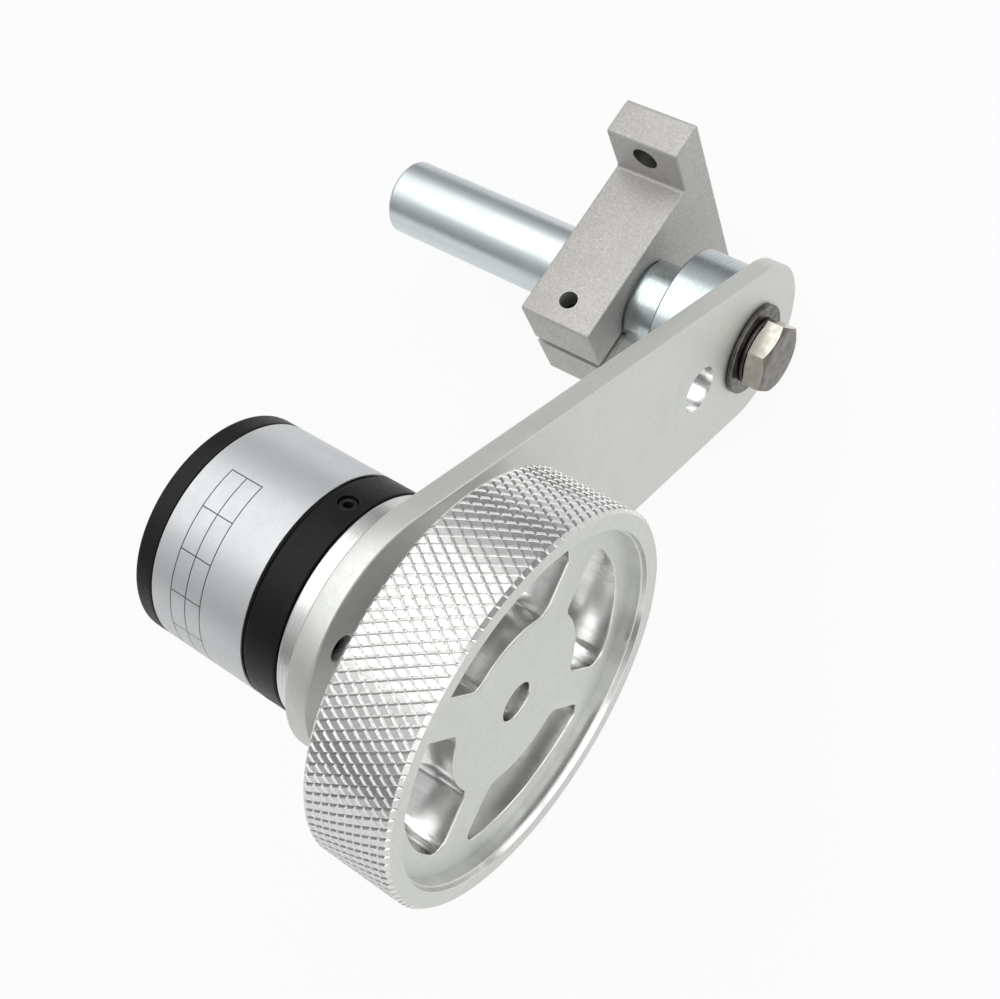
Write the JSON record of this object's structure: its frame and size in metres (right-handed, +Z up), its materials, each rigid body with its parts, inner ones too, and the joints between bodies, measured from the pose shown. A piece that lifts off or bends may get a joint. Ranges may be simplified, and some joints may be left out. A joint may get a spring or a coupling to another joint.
{
  "type": "encoder measuring wheel",
  "caption": "Knurled spoked measuring wheel on an encoder shaft, carried by a sprung flat arm on a rod in a split clamp block.",
  "frame": {"origin": "middle of the clamp block's base face, which bolts to the machine", "axes": "+X out of the base face, +Y along the wheel's axis from wheel to encoder, +Z up"},
  "size_m": [0.1458, 0.1097, 0.1129],
  "materials": {
    "machined_aluminium": "fine turned and knurled",
    "anodised_aluminium": "satin, clear anodised",
    "cast_aluminium": "matte, fine sand-cast grain",
    "zinc_plate": "bright bluish zinc plating",
    "nickel_plate": "warm nickel plating",
    "dark_steel": "blackened steel",
    "spring_steel": "oiled spring wire",
    "bearing_steel": "ground steel",
    "bronze": "sintered bronze",
    "black_anodise": "matte black anodised",
    "black_plastic": "matte black",
    "label_film": "satin silver film",
    "disc_film": "clear gloss",
    "circuit_board": "solder mask"
  },
  "bodies": {
    "mount_block": {"clamp_block": "cast_aluminium", "clamp_screw": "dark_steel"},
    "rod": {"pivot_rod": "zinc_plate", "spring_housing": "zinc_plate", "torsion_spring": "spring_steel", "pivot_bolt": "nickel_plate", "flat_washer": "nickel_plate", "lock_washer": "dark_steel"},
    "arm": {"arm_plate": "anodised_aluminium", "pivot_bush": "bronze", "encoder_adapter": "machined_aluminium", "mount_screw_1": "dark_steel", "mount_screw_2": "dark_steel", "mount_screw_3": "dark_steel", "encoder_body": "black_anodise", "encoder_cover": "black_plastic", "rating_label": "label_film", "side_screw_1": "dark_steel", "side_screw_2": "dark_steel", "side_screw_3": "dark_steel", "cable_gland": "black_plastic", "shaft_bearing_1": "bearing_steel", "shaft_bearing_2": "bearing_steel", "circuit_board": "circuit_board", "optical_reader": "black_plastic"},
    "wheel": {"measuring_wheel": "machined_aluminium", "wheel_set_screw_1": "dark_steel", "wheel_set_screw_2": "dark_steel", "encoder_shaft": "bearing_steel", "code_disc": "disc_film", "disc_hub": "machined_aluminium"}
  },
  "joints": [
    {"name": "rod_slide", "type": "slide", "parent": "mount_block", "child": "rod", "axis": [0, 1, 0], "range_m": [-0.04, 0]},
    {"name": "arm_pivot", "type": "hinge", "parent": "rod", "child": "arm", "pos_m": [-0.027, -0.0303, 0], "axis": [0, 1, 0], "range_deg": [0, 45], "stiffness_Nm_per_rad": 0.5, "springref_deg": -34.38},
    {"name": "wheel_spin", "type": "hinge", "parent": "arm", "child": "wheel", "pos_m": [-0.11392, -0.0486, 0.0571], "axis": [0, 1, 0], "continuous": true}
  ]
}
